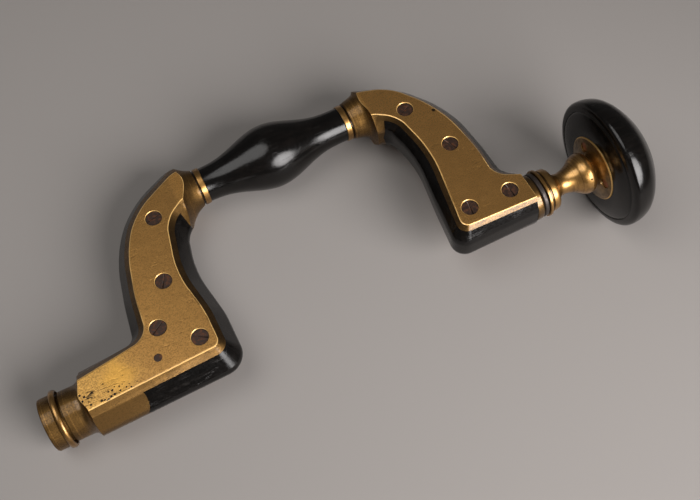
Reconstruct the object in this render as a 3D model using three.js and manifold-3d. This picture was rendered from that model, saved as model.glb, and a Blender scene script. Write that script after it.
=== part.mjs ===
// Brass-framed bit brace with ebony infill.
// X runs along the main axis from chuck to head, +Y points to the hand grip, +Z leaves the front cheek.
import * as THREE from 'three';
import * as BufferGeometryUtils from 'three/addons/utils/BufferGeometryUtils.js';
import Module from 'manifold-3d';

const wasm = await Module();
wasm.setup();

// Driving sizes, in millimetres
const throwRadius = 98.5;
const lowerArmLength = 122.8;
const gripSpan = 97.5;
const upperArmLength = 63.7;
const frameThickness = 29;
const lowerBandHeight = 3;
const upperBandHeight = 11.6;
const cheekThickness = 2.8;
const bevelShare = 0.36;
const fitGap = 0.3;
const overrun = 1;

// Chuck
const noseRadius = 14.4;
const noseLength = 6.6;
const noseEdge = 0.7;
const grooveWidth = 4.3;
const grooveRadius = 12.2;
const ringWidth = 3.2;
const ringBoreRadius = 14.7;
const ringOuterRadius = 16.1;
const neckRadius = 13.7;
const neckFilletStart = 16.4;
const neckFillet = 8.3;
const shoulderReach = 34;
const socketMouthWidth = 12.4;
const socketEndWidth = 10.8;
const socketDepth = 36;
const socketMouthFlare = 0.8;
const tongueEnd = 51.9;
const tongueRadius = 15;
const tongueLobe = 8.3;

// Catch inside the chuck
const catchPinRadius = 2.25;
const catchEyeRadius = 4.3;
const catchWidth = 5;
const catchThickness = 2.8;
const catchOuterY = 13.2;
const catchTailLength = 10.7;
const toothStart = 20;
const toothWidth = 4.2;
const toothReach = 1.3;
const pressTravel = 1.8;
const springStrip = 0.7;
const springRoom = 4.4;
const ringPinRadius = 0.9;

// Arms next to the grip
const coneRadius = 11.1;
const coneStraight = 0.4;
const coneFillet = 20.5;
const coneLean = 0.34;
const upperConeStraight = 6.7;
const upperConeEndRadius = 12.9;
const upperConeFillet = 4.7;
const upperConeLean = 0.263;
const coneBlockLength = 15.4;
const coneBlockHollow = 3;
const upperBlockHollow = 2.4;
const rodRadius = 4.5;
const rodEntry = 10.5;
const spigotRadius = 10;

// Grip
const gripEndRadius = 10.2;
const gripSwell = 8.8;
const gripPeakShare = 0.022;
const gripEndClearance = 1.1;
const ferruleWidth = 3.4;
const ferruleRadius = 10.9;
const ferruleWall = 1.9;
const ferruleEdge = 0.5;

// Head end of the frame
const collarRadius = 13.2;
const collarWidth = 3.9;
const collarEdge = 0.6;
const collarLap = 0.5;
const bossRadius = 9.5;
const bossLength = 26;
const spindleRadius = 4.2;
const spindleEntry = 11;
const washerWidth = 2.7;
const washerRadius = 12.9;

// Neck, flange and head
const neckLength = 32.2;
const neckRimRadius = 13.8;
const neckRimWidth = 1.8;
const neckGrooveRadius = 11.8;
const neckGrooveWidth = 1.6;
const neckBeadRadius = 12.3;
const neckBeadWidth = 4.5;
const neckBeadEdge = 0.9;
const bellRadius = 12.05;
const bellLipRadius = 9.8;
const bellRoomRadius = 8.4;
const bellRoomDepth = 7.2;
const oilHoleRadius = 0.7;
const nutWidth = 12;
const nutHeight = 4;
const spindleWasherRadius = 7.6;
const spindleWasherHeight = 1;
const flangeRadius = 19.2;
const flangeHeight = 3.8;
const flangeBossRadius = 9.4;
const flangeStep = 0.8;
const flangeRim = 0.7;
const flangeEdge = 0.3;
const flangeSink = 0.4;
const headRadius = 38;
const headDepth = 28.9;
const headRoomDepth = 7;

// Screws
const screwHeadRadius = 4.6;
const screwHeadHeight = 2.6;
const screwShankRadius = 2.2;
const screwLength = 9.5;
const screwSink = 0.35;
const screwSlotWidth = 1;
const screwSlotDepth = 1;
const flangeScrewRadius = 2.9;
const flangeScrewShank = 1.4;
const flangeScrewHeadHeight = 1.4;
const flangeScrewSink = 2.3;
const flangeScrewLength = 8;
const flangeScrewCircle = 13.6;

// Places that follow from the driving sizes
const halfThickness = frameThickness / 2;
const infillHalf = halfThickness - cheekThickness;
const lowerGripX = lowerArmLength;
const upperGripX = lowerGripX + gripSpan;
const armEndX = upperGripX + upperArmLength;
const collarEndX = armEndX + collarWidth;
const washerEndX = collarEndX + fitGap + washerWidth;
const neckStartX = washerEndX + fitGap;
const neckEndX = neckStartX + neckLength;
const flangeStartX = neckEndX + fitGap;
const headSeatX = flangeStartX + flangeHeight;
const headUndersideX = headSeatX - flangeSink;
const crownX = headUndersideX + headDepth;

// Corner tables: x as a share of the arm's length, y and corner radius as shares of the throw.
// The face table is the flat cheek, the side table is the widest line round the infill.
const lowerFaceShares = [
  [0, -0.104, 0],
  [0.785, -0.068, 0.043],
  [0.785, 0.152, 0.305],
  [0.744, 0.437, 0.325],
  [0.801, 0.782, 0.173],
  [0.912, 0.877, 0.061],
  [1, 0.877, 0],
  [1, 1.059, 0],
  [0.916, 1.059, 0.061],
  [0.688, 0.904, 0.305],
  [0.59, 0.69, 0.406],
  [0.544, 0.406, 0.609],
  [0.526, 0.148, 0.107],
  [0, 0.058, 0],
];
const lowerSideShares = [
  [0, -0.185, 0],
  [0.864, -0.177, 0.12],
  [0.866, 0.156, 0.264],
  [0.826, 0.479, 0.345],
  [0.865, 0.717, 0.122],
  [0.923, 0.784, 0.041],
  [1, 0.784, 0],
  [1, 1.192, 0],
  [0.9, 1.192, 0.45],
  [0.66, 1.045, 0.5],
  [0.524, 0.76, 0.426],
  [0.476, 0.452, 0.609],
  [0.451, 0.225, 0.056],
  [0, 0.189, 0],
];
const upperFaceShares = [
  [0.7, -0.063, 0.043],
  [0, -0.085, 0],
  [0, 0.085, 0],
  [0.207, 0.151, 0.107],
  [0.198, 0.365, 0.508],
  [0.276, 0.711, 0.406],
  [0.568, 0.995, 0.284],
  [0.832, 1.058, 0.061],
  [1, 1.058, 0],
  [1, 0.875, 0],
  [0.832, 0.875, 0.061],
  [0.637, 0.784, 0.162],
  [0.554, 0.467, 0.457],
  [0.628, 0.193, 0.558],
];
const upperSideShares = [
  [0.813, -0.126, 0.086],
  [0, -0.128, 0],
  [0, 0.138, 0],
  [0.082, 0.219, 0.046],
  [0.089, 0.396, 0.508],
  [0.132, 0.731, 0.426],
  [0.463, 1.04, 0.345],
  [0.856, 1.155, 0.061],
  [1, 1.155, 0],
  [1, 0.795, 0],
  [0.863, 0.795, 0.041],
  [0.744, 0.774, 0.112],
  [0.669, 0.528, 0.457],
  [0.749, 0.203, 0.558],
];
const lowerScrewShares = [
  [0.756, 0.829],
  [0.681, 0.424],
  [0.579, 0.174],
  [0.723, 0.018],
];
const upperScrewShares = [
  [0.544, 0.807],
  [0.374, 0.461],
  [0.552, 0.032],
  [0.166, 0.024],
];
// Radius as a share of the head's radius, x as a share of its depth
const headShapeShares = [
  [0.632, 0.007],
  [0.75, 0.035],
  [0.837, 0.066],
  [0.861, 0.087],
  [0.879, 0.08],
  [0.926, 0.09],
  [0.966, 0.111],
  [0.989, 0.145],
  [1, 0.19],
  [0.999, 0.291],
  [0.979, 0.405],
  [0.947, 0.495],
  [0.884, 0.595],
  [0.789, 0.696],
  [0.668, 0.799],
  [0.526, 0.882],
  [0.368, 0.95],
  [0.211, 0.986],
  [0, 1],
];
// Radius as a share of the bell's radius, x as a share of the neck's length
const neckShapeShares = [
  [0.714, 0.27],
  [0.614, 0.317],
  [0.556, 0.366],
  [0.527, 0.429],
  [0.544, 0.491],
  [0.593, 0.559],
  [0.672, 0.634],
  [0.78, 0.702],
  [0.88, 0.752],
  [0.946, 0.801],
  [0.992, 0.857],
  [1, 0.901],
  [0.971, 0.941],
  [0.905, 0.978],
];
const oilHoleShare = 0.863;
const slotAngleShares = [0.08, 0.36, 0.2, 0.84, 0.17, 0.62, 0.48, 0.53];

// Materials
const brass = { color: 0xa98445, roughness: 0.42, metalness: 1 };
const ebony = { color: 0x16120f, roughness: 0.4, metalness: 0 };
const darkSteel = { color: 0x3a312b, roughness: 0.55, metalness: 0.9 };
const springSteel = { color: 0x56524c, roughness: 0.45, metalness: 1 };

// Solids from closed geometries, turned outwards where their faces point in
function solidOf(geometry) {
  const plain = geometry.clone();
  plain.deleteAttribute('normal');
  plain.deleteAttribute('uv');
  const merged = BufferGeometryUtils.mergeVertices(plain, fitGap / 1000);
  const place = merged.attributes.position;
  const index = Array.from(merged.index.array);
  const corners = [new THREE.Vector3(), new THREE.Vector3(), new THREE.Vector3()];
  let volume = 0;
  for (let i = 0; i < index.length; i += 3) {
    corners.forEach((corner, k) => corner.fromBufferAttribute(place, index[i + k]));
    volume += corners[0].dot(corners[1].clone().cross(corners[2]));
  }
  if (volume < 0) {
    index.reverse();
  }
  const triVerts = new Uint32Array(index);
  const vertProperties = new Float32Array(place.array);
  const solid = new wasm.Manifold(new wasm.Mesh({ numProp: 3, vertProperties, triVerts }));
  return solid;
}

function namedMesh(name, solid, look) {
  const data = solid.getMesh();
  const geometry = new THREE.BufferGeometry();
  geometry.setAttribute('position', new THREE.BufferAttribute(data.vertProperties, 3));
  geometry.setIndex(new THREE.BufferAttribute(data.triVerts, 1));
  geometry.computeVertexNormals();
  const mesh = new THREE.Mesh(geometry, new THREE.MeshStandardMaterial(look));
  mesh.name = name;
  return mesh;
}

// A revolved solid about a line along X at height y, from [radius, x] pairs
function turned(pairs, segments = 36, y = 0) {
  const points = pairs.map(([radius, x]) => new THREE.Vector2(radius, x));
  const geometry = new THREE.LatheGeometry(points, segments);
  geometry.rotateZ(-Math.PI / 2);
  geometry.translate(0, y, 0);
  return solidOf(geometry);
}

function ring(startX, endX, innerRadius, outerRadius, segments = 32, y = 0) {
  const pairs = [
    [innerRadius, startX],
    [outerRadius, startX],
    [outerRadius, endX],
    [innerRadius, endX],
    [innerRadius, startX],
  ];
  return turned(pairs, segments, y);
}

function rod(startX, endX, radius, segments = 24, y = 0) {
  return turned([[0, startX], [radius, startX], [radius, endX], [0, endX]], segments, y);
}

// A rod along Z, for screws, pins and their holes
function post(x, y, lowZ, highZ, radius, segments = 20) {
  const geometry = new THREE.CylinderGeometry(radius, radius, highZ - lowZ, segments);
  geometry.rotateX(Math.PI / 2);
  geometry.translate(x, y, (lowZ + highZ) / 2);
  return solidOf(geometry);
}

function block(low, high) {
  const size = high.map((value, k) => value - low[k]);
  const geometry = new THREE.BoxGeometry(...size);
  geometry.translate(...high.map((value, k) => (value + low[k]) / 2));
  return solidOf(geometry);
}

// A flat outline in XY made into a plate centred on z = 0
function plate(outline, thickness) {
  const shape = new THREE.Shape(outline.map(([x, y]) => new THREE.Vector2(x, y)));
  const geometry = new THREE.ExtrudeGeometry(shape, { depth: thickness, bevelEnabled: false });
  geometry.translate(0, 0, -thickness / 2);
  return solidOf(geometry);
}

// Corner points of an arm's outline, in place
function armCorners(shares, startX, runX) {
  return shares.map(([x, y, r]) => ({ x: startX + x * runX, y: y * throwRadius, r: r * throwRadius }));
}

// How far each corner turns, which sets how many facets its arc gets
function cornerFacets(corners) {
  return corners.map((corner, i) => {
    if (corner.r === 0) {
      return 0;
    }
    const before = corners[(i + corners.length - 1) % corners.length];
    const after = corners[(i + 1) % corners.length];
    const inAngle = Math.atan2(corner.y - before.y, corner.x - before.x);
    const outAngle = Math.atan2(after.y - corner.y, after.x - corner.x);
    const turn = Math.abs(Math.atan2(Math.sin(outAngle - inAngle), Math.cos(outAngle - inAngle)));
    return Math.max(2, Math.round(turn / (Math.PI / 13)));
  });
}

// A closed line with an arc at each corner, its radius limited by the straight on each side
function roundedLine(corners, facets) {
  const points = [];
  corners.forEach((corner, i) => {
    const here = new THREE.Vector2(corner.x, corner.y);
    if (facets[i] === 0) {
      points.push(here);
      return;
    }
    const before = corners[(i + corners.length - 1) % corners.length];
    const after = corners[(i + 1) % corners.length];
    const toBefore = new THREE.Vector2(before.x, before.y).sub(here);
    const toAfter = new THREE.Vector2(after.x, after.y).sub(here);
    const half = Math.abs(toBefore.angleTo(toAfter)) / 2;
    const room = Math.min(toBefore.length(), toAfter.length()) * 0.48;
    const setback = Math.min(corner.r / Math.tan(half), room);
    const start = here.clone().addScaledVector(toBefore.normalize(), setback);
    const end = here.clone().addScaledVector(toAfter.normalize(), setback);
    const weight = Math.sin(half);
    for (let k = 0; k <= facets[i]; k += 1) {
      const t = k / facets[i];
      const a = (1 - t) * (1 - t);
      const b = 2 * t * (1 - t) * weight;
      const c = t * t;
      const x = (a * start.x + b * here.x + c * end.x) / (a + b + c);
      const y = (a * start.y + b * here.y + c * end.y) / (a + b + c);
      points.push(new THREE.Vector2(x, y));
    }
  });
  return points;
}

// An arm's body: flat cheeks, a wide bevel on the brass, steeper flanks and an upright band round them
function armBlank(faceShares, sideShares, bandHeight, startX, runX) {
  const faceCorners = armCorners(faceShares, startX, runX);
  const facets = cornerFacets(faceCorners);
  const face = roundedLine(faceCorners, facets);
  const side = roundedLine(armCorners(sideShares, startX, runX), facets);
  const bevel = face.map((point, k) => point.clone().lerp(side[k], bevelShare));
  const levels = [
    [face, -halfThickness],
    [bevel, -infillHalf],
    [side, -bandHeight / 2],
    [side, bandHeight / 2],
    [bevel, infillHalf],
    [face, halfThickness],
  ];
  const count = face.length;
  const positions = [];
  levels.forEach(([line, z]) => line.forEach((point) => positions.push(point.x, point.y, z)));
  const index = [];
  for (let level = 0; level + 1 < levels.length; level += 1) {
    for (let k = 0; k < count; k += 1) {
      const a = level * count + k;
      const b = level * count + ((k + 1) % count);
      index.push(a, b, b + count, a, b + count, a + count);
    }
  }
  const top = (levels.length - 1) * count;
  THREE.ShapeUtils.triangulateShape(face, []).forEach(([a, b, c]) => {
    index.push(c, b, a);
    index.push(top + a, top + b, top + c);
  });
  const geometry = new THREE.BufferGeometry();
  geometry.setAttribute('position', new THREE.BufferAttribute(new Float32Array(positions), 3));
  geometry.setIndex(index);
  return solidOf(geometry);
}

// What is turned away round a shank: a straight stretch, then a flare up to a square shoulder.
// side is 1 where the shoulder lies towards +X of the shank's free end, -1 where it lies towards -X.
// lean is the flare's angle to the shank where it starts, freeRadius the shank's radius at its free end.
function shoulderCut(freeX, flareX, radius, flare, side, y, lean = 0, freeRadius = radius) {
  const steps = 6;
  const pairs = [
    [shoulderReach, freeX - side * overrun],
    [freeRadius, freeX - side * overrun],
    [freeRadius, freeX],
  ];
  let endX = flareX;
  for (let k = 0; k <= steps; k += 1) {
    const angle = lean + (k / steps) * (Math.PI / 2 - lean);
    endX = flareX + side * flare * (Math.sin(angle) - Math.sin(lean));
    pairs.push([radius + flare * (Math.cos(lean) - Math.cos(angle)), endX]);
  }
  pairs.push([shoulderReach, endX]);
  pairs.push([shoulderReach, freeX - side * overrun]);
  return turned(pairs, 36, y);
}

// Room for the infill between the cheeks, with a tongue of brass in two lobes left at the chuck end
function tongueDrop(z) {
  const fromLobe = Math.abs(z) - tongueLobe;
  return tongueRadius - Math.sqrt(tongueRadius * tongueRadius - fromLobe * fromLobe);
}

function lowerWindow(gap) {
  const half = infillHalf - gap;
  const farX = lowerGripX - coneBlockLength - gap;
  const tongueX = tongueEnd + gap;
  const steps = 12;
  const outline = [[farX, half]];
  for (let k = 0; k <= steps; k += 1) {
    const z = half * (1 - (2 * k) / steps);
    outline.push([tongueX - tongueDrop(z), z]);
  }
  outline.push([farX, -half], [farX + coneBlockHollow, 0]);
  const lowX = lowerGripX - gap;
  return window(outline).add(block([tongueX, -throwRadius, -half], [lowX, throwRadius / 2 - gap, half]));
}

function upperWindow(gap) {
  const half = infillHalf - gap;
  const nearX = upperGripX + coneBlockLength + gap;
  const farX = gap > 0 ? armEndX - collarLap - gap : armEndX + overrun;
  const endX = nearX - upperBlockHollow;
  const cone = window([[nearX, -half], [farX, -half], [farX, half], [nearX, half], [endX, 0]]);
  return cone.add(block([upperGripX, -throwRadius, -half], [farX, throwRadius / 2 - gap, half]));
}

// An outline in X and Z cut right through the arm along Y
function window(outline) {
  const reach = throwRadius * 2;
  const shape = new THREE.Shape(outline.map(([x, z]) => new THREE.Vector2(x, -z)));
  const geometry = new THREE.ExtrudeGeometry(shape, { depth: reach * 2, bevelEnabled: false });
  geometry.translate(0, 0, -reach);
  geometry.rotateX(-Math.PI / 2);
  return solidOf(geometry);
}

// Screws and the seats that they lie in
function screwSpots(shares, startX, runX) {
  return shares.map(([x, y]) => [startX + x * runX, y * throwRadius]);
}

function countersunk(x, y, grow) {
  const top = halfThickness - screwSink + (grow > 0 ? screwSink + overrun : 0);
  const headBase = halfThickness - screwSink - screwHeadHeight;
  const tip = halfThickness - screwSink - screwLength - grow;
  const rim = halfThickness - screwSink;
  const points = [
    new THREE.Vector2(0, tip),
    new THREE.Vector2(screwShankRadius + grow, tip),
    new THREE.Vector2(screwShankRadius + grow, headBase),
    new THREE.Vector2(screwHeadRadius + grow, rim),
  ];
  if (top > rim) {
    points.push(new THREE.Vector2(screwHeadRadius + grow, top));
  }
  points.push(new THREE.Vector2(0, top));
  const geometry = new THREE.LatheGeometry(points, 14);
  geometry.rotateX(Math.PI / 2);
  geometry.translate(x, y, 0);
  return solidOf(geometry);
}

function cheekScrew(x, y, turnShare) {
  const top = halfThickness - screwSink;
  const slot = new THREE.BoxGeometry(screwHeadRadius * 3, screwSlotWidth, screwSlotDepth * 2);
  slot.rotateZ(turnShare * Math.PI);
  slot.translate(x, y, top);
  return countersunk(x, y, 0).subtract(solidOf(slot));
}

const lowerSpots = screwSpots(lowerScrewShares, 0, lowerArmLength);
const upperSpots = screwSpots(upperScrewShares, armEndX, -upperArmLength);

function screwSeats(spots) {
  const fronts = spots.map(([x, y]) => countersunk(x, y, fitGap / 3));
  const backs = fronts.map((seat) => seat.mirror([0, 0, 1]));
  return wasm.Manifold.union([...fronts, ...backs]);
}

// The catch: a lever on a cross pin, lying in a milled slot on the grip side of the chuck
const pivotX = 0.531 * lowerArmLength;
const pivotY = 0.011 * throwRadius;
const catchInnerY = catchOuterY - catchThickness;
const tipX = noseLength + fitGap;
const ringX = noseLength + fitGap / 2;
const ringPinX = ringX + ringWidth / 2;
const elbowX = socketDepth + catchThickness * 3;
const tailX = pivotX + catchTailLength;
const socketWidthAt = (x) => socketMouthWidth + (socketEndWidth - socketMouthWidth) * (x / socketDepth);

function catchBar() {
  const toothTipY = socketWidthAt(toothStart) / 2 - toothReach;
  const bar = plate([
    [tipX, catchInnerY],
    [toothStart, catchInnerY],
    [toothStart + toothWidth / 4, toothTipY],
    [toothStart + toothWidth * 0.7, toothTipY],
    [toothStart + toothWidth, catchInnerY],
    [elbowX, catchInnerY],
    [pivotX, pivotY],
    [tailX, pivotY],
    [tailX, pivotY + catchThickness],
    [pivotX + catchThickness, pivotY + catchEyeRadius],
    [elbowX + catchThickness, catchOuterY],
    [tipX, catchOuterY],
  ], catchWidth);
  return bar.add(post(pivotX, pivotY, -catchWidth / 2, catchWidth / 2, catchEyeRadius, 24));
}

function catchRoom() {
  const floorY = pivotY - catchEyeRadius - fitGap - springRoom;
  const underY = pivotY - catchEyeRadius - fitGap;
  const innerY = catchInnerY - fitGap;
  const swing = pressTravel + fitGap;
  const outline = [
    [noseLength, innerY],
    [toothStart - fitGap, innerY],
    [toothStart - fitGap, 0],
    [toothStart + toothWidth + fitGap, 0],
    [toothStart + toothWidth + fitGap, innerY],
    [elbowX - fitGap * 2, innerY],
    [pivotX - catchEyeRadius - fitGap * 2, pivotY],
    [pivotX - catchEyeRadius, underY],
    [pivotX, floorY],
    [tailX + fitGap * 3, floorY],
    [tailX + fitGap * 3, pivotY + catchThickness + fitGap * 2],
    [pivotX + catchThickness * 2, pivotY + catchEyeRadius + fitGap * 2],
    [elbowX + catchThickness * 2, catchOuterY + swing],
    [elbowX + catchThickness, catchOuterY + shoulderReach],
    [noseLength, catchOuterY + shoulderReach],
  ];
  return plate(outline, catchWidth + fitGap * 2);
}

function catchLever() {
  const hole = new THREE.CylinderGeometry(ringPinRadius + fitGap * 2, ringPinRadius + fitGap * 2, catchOuterY * 2, 12);
  hole.translate(ringPinX, catchOuterY, 0);
  const pinHole = post(pivotX, pivotY, -catchWidth, catchWidth, catchPinRadius + fitGap, 20);
  return catchBar().subtract(solidOf(hole)).subtract(pinHole);
}

function catchPin() {
  return post(pivotX, pivotY, -halfThickness, halfThickness, catchPinRadius, 20);
}

function catchSpring() {
  const floorY = pivotY - catchEyeRadius - springRoom;
  const tipY = pivotY - fitGap * 2;
  const farX = tailX - fitGap;
  return plate([
    [pivotX + springStrip, floorY],
    [farX, floorY],
    [farX, floorY + springStrip],
    [pivotX + springStrip * 4, floorY + springStrip],
    [farX, tipY - springStrip],
    [farX, tipY],
    [farX - springStrip, tipY],
    [pivotX + springStrip, floorY + springStrip * 2],
  ], catchWidth - fitGap * 2);
}

// The square socket, tapering to its blind end, with a flared mouth
function bitSocket() {
  const corner = Math.SQRT2 / 2;
  const taper = new THREE.CylinderGeometry(socketEndWidth * corner, socketMouthWidth * corner, socketDepth, 4);
  taper.rotateY(Math.PI / 4);
  taper.rotateZ(-Math.PI / 2);
  taper.translate(socketDepth / 2, 0, 0);
  const flareWidth = socketMouthWidth + socketMouthFlare * 2;
  const mouth = new THREE.CylinderGeometry(socketMouthWidth * corner, flareWidth * corner, socketMouthFlare * 2, 4);
  mouth.rotateY(Math.PI / 4);
  mouth.rotateZ(-Math.PI / 2);
  return solidOf(taper).add(solidOf(mouth));
}

function noseCut() {
  const reach = shoulderReach;
  const end = turned([
    [0, -overrun],
    [reach, -overrun],
    [reach, noseLength + grooveWidth * 2],
    [neckRadius, noseLength + grooveWidth * 2],
    [neckRadius, noseLength + grooveWidth + noseEdge / 2],
    [neckRadius - noseEdge / 2, noseLength + grooveWidth],
    [grooveRadius, noseLength + grooveWidth],
    [grooveRadius, noseLength],
    [noseRadius, noseLength],
    [noseRadius, noseEdge],
    [noseRadius - noseEdge, 0],
    [0, 0],
  ], 36);
  return end.add(shoulderCut(noseLength + grooveWidth * 2, neckFilletStart, neckRadius, neckFillet, 1, 0));
}

const lowerBlank = armBlank(lowerFaceShares, lowerSideShares, lowerBandHeight, 0, lowerArmLength);
const upperBlank = armBlank(upperFaceShares, upperSideShares, upperBandHeight, armEndX, -upperArmLength);
const lowerConeX = lowerGripX - coneStraight;
const upperConeX = upperGripX + upperConeStraight;
const lowerConeCut = shoulderCut(lowerGripX, lowerConeX, coneRadius, coneFillet, -1, throwRadius, coneLean);
const upperConeCut = shoulderCut(
  upperGripX, upperConeX, upperConeEndRadius, upperConeFillet, 1, throwRadius, upperConeLean, coneRadius,
);
const catchPinHole = post(pivotX, pivotY, -frameThickness, frameThickness, catchPinRadius + fitGap / 3, 20);
const rodHoleRadius = rodRadius + fitGap;
const spigotLength = gripEndClearance - fitGap;
const lowerSpigot = rod(lowerGripX - overrun, lowerGripX + spigotLength, spigotRadius, 28, throwRadius);
const upperSpigot = rod(upperGripX - spigotLength, upperGripX + overrun, spigotRadius, 28, throwRadius);

function lowerFrame() {
  return lowerBlank
    .subtract(lowerWindow(0))
    .subtract(noseCut())
    .subtract(lowerConeCut)
    .add(lowerSpigot)
    .subtract(bitSocket())
    .subtract(catchRoom())
    .subtract(catchPinHole)
    .subtract(screwSeats(lowerSpots))
    .subtract(rod(lowerGripX - rodEntry - fitGap, lowerGripX + gripEndClearance, rodHoleRadius, 24, throwRadius));
}

function upperFrame() {
  const boss = rod(armEndX - bossLength, armEndX + overrun, bossRadius, 28);
  const collar = turned([
    [0, armEndX - collarLap],
    [collarRadius, armEndX - collarLap],
    [collarRadius, collarEndX - collarEdge],
    [collarRadius - collarEdge, collarEndX],
    [0, collarEndX],
  ]);
  return upperBlank
    .subtract(upperWindow(0))
    .subtract(upperConeCut)
    .add(upperSpigot)
    .add(boss)
    .add(collar)
    .subtract(screwSeats(upperSpots))
    .subtract(rod(collarEndX - spindleEntry - fitGap, collarEndX + overrun, spindleRadius + fitGap / 3))
    .subtract(rod(upperGripX - gripEndClearance, upperGripX + rodEntry + fitGap, rodHoleRadius, 24, throwRadius));
}

function lowerInfill() {
  return lowerBlank
    .intersect(lowerWindow(fitGap))
    .subtract(catchRoom())
    .subtract(catchPinHole)
    .subtract(screwSeats(lowerSpots));
}

function upperInfill() {
  return upperBlank
    .intersect(upperWindow(fitGap))
    .subtract(rod(armEndX - bossLength - fitGap, armEndX + overrun, bossRadius + fitGap, 28))
    .subtract(screwSeats(upperSpots));
}

// The ring that is pressed sideways to draw the catch out of the bit
function releaseRing() {
  const edge = ringWidth / 4;
  const bead = turned([
    [ringBoreRadius, ringX],
    [ringOuterRadius - edge / 2, ringX],
    [ringOuterRadius, ringX + edge],
    [ringOuterRadius, ringX + ringWidth - edge],
    [ringOuterRadius - edge / 2, ringX + ringWidth],
    [ringBoreRadius, ringX + ringWidth],
    [ringBoreRadius, ringX],
  ], 48);
  return bead.subtract(ringPinBody(fitGap / 6));
}

function ringPinBody(grow) {
  const top = ringOuterRadius - fitGap + grow * 8;
  const low = catchInnerY + fitGap;
  const pin = new THREE.CylinderGeometry(ringPinRadius + grow, ringPinRadius + grow, top - low, 10);
  pin.translate(ringPinX, (top + low) / 2, 0);
  return solidOf(pin);
}

// The grip, its ferrules and the rod that it turns on
const gripStartX = lowerGripX + gripEndClearance;
const gripEndX = upperGripX - gripEndClearance;
const gripBoreRadius = rodRadius + fitGap;

function gripRadius(share) {
  const wave = (1 + Math.cos(share * Math.PI * 2)) / 2;
  return gripEndRadius + gripSwell * wave ** 1.45;
}

function grip() {
  const tenonRadius = ferruleRadius - ferruleWall - fitGap / 3;
  const bodyStart = gripStartX + ferruleWidth + fitGap / 3;
  const bodyEnd = gripEndX - ferruleWidth - fitGap / 3;
  const steps = 14;
  const pairs = [
    [gripBoreRadius, gripStartX],
    [tenonRadius, gripStartX],
    [tenonRadius, bodyStart],
  ];
  for (let k = 0; k <= steps; k += 1) {
    const t = k / steps;
    pairs.push([gripRadius(t - 0.5 + gripPeakShare), bodyStart + (bodyEnd - bodyStart) * t]);
  }
  pairs.push([tenonRadius, bodyEnd], [tenonRadius, gripEndX], [gripBoreRadius, gripEndX]);
  pairs.push([gripBoreRadius, gripStartX]);
  return turned(pairs, 32, throwRadius);
}

function ferrule(startX) {
  const endX = startX + ferruleWidth;
  const boreRadius = ferruleRadius - ferruleWall;
  return turned([
    [boreRadius, startX],
    [ferruleRadius - ferruleEdge, startX],
    [ferruleRadius, startX + ferruleEdge],
    [ferruleRadius, endX - ferruleEdge],
    [ferruleRadius - ferruleEdge, endX],
    [boreRadius, endX],
    [boreRadius, startX],
  ], 32, throwRadius);
}

function gripRod() {
  return rod(lowerGripX - rodEntry, upperGripX + rodEntry, rodRadius, 24, throwRadius);
}

// The head end: spindle, thrust washer, turned neck, flange and head
const bellRoomX = neckEndX - bellRoomDepth;
const spindleEndX = neckEndX - fitGap * 4;
const washerSeatX = bellRoomX + fitGap;
const nutX = washerSeatX + spindleWasherHeight + fitGap / 3;

function thrustWasher() {
  return ring(collarEndX + fitGap, washerEndX, spindleRadius + fitGap / 3, washerRadius);
}

function neck() {
  const grooveX = neckStartX + neckRimWidth;
  const beadX = grooveX + neckGrooveWidth;
  const waistX = beadX + neckBeadWidth;
  const boreRadius = spindleRadius + fitGap;
  const pairs = [
    [boreRadius, neckStartX],
    [neckRimRadius, neckStartX],
    [neckRimRadius, grooveX],
    [neckGrooveRadius, grooveX],
    [neckGrooveRadius, beadX],
    [neckBeadRadius, beadX],
    [neckBeadRadius, waistX - neckBeadEdge],
    [neckBeadRadius - neckBeadEdge, waistX],
  ];
  neckShapeShares.forEach(([r, x]) => pairs.push([r * bellRadius, neckStartX + x * neckLength]));
  pairs.push(
    [bellLipRadius, neckEndX],
    [bellRoomRadius, neckEndX],
    [bellRoomRadius, bellRoomX],
    [boreRadius, bellRoomX],
    [boreRadius, neckStartX],
  );
  const oilHole = new THREE.CylinderGeometry(oilHoleRadius, oilHoleRadius, bellRadius, 8);
  oilHole.translate(neckStartX + oilHoleShare * neckLength, bellRadius, 0);
  oilHole.rotateX(Math.PI * 0.8);
  return turned(pairs, 36).subtract(solidOf(oilHole));
}

function headSpindle() {
  return rod(collarEndX - spindleEntry, spindleEndX, spindleRadius);
}

function spindleWasher() {
  return ring(washerSeatX, washerSeatX + spindleWasherHeight, spindleRadius + fitGap / 3, spindleWasherRadius, 24);
}

function spindleNut() {
  const cornerRadius = nutWidth / 2 / Math.cos(Math.PI / 6);
  const nut = new THREE.CylinderGeometry(cornerRadius, cornerRadius, nutHeight, 6);
  nut.rotateZ(-Math.PI / 2);
  nut.translate(nutX + nutHeight / 2, 0, 0);
  return solidOf(nut).subtract(rod(nutX - overrun, nutX + nutHeight + overrun, spindleRadius + fitGap / 3));
}

const flangeScrewAngles = [0, 1, 2].map((k) => Math.PI * 0.935 + (k * Math.PI * 2) / 3);

function headFlange() {
  const rimX = headSeatX - flangeRim;
  const boreRadius = spindleRadius + fitGap * 2;
  const disc = turned([
    [boreRadius, flangeStartX],
    [flangeBossRadius, flangeStartX],
    [flangeBossRadius + flangeStep, flangeStartX + flangeStep],
    [flangeRadius - flangeEdge, rimX - flangeEdge],
    [flangeRadius, rimX],
    [flangeRadius, headSeatX],
    [boreRadius, headSeatX],
    [boreRadius, flangeStartX],
  ], 44);
  return flangeScrewAngles.reduce((solid, angle) => solid.subtract(flangeScrewBody(angle, fitGap / 3)), disc);
}

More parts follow.
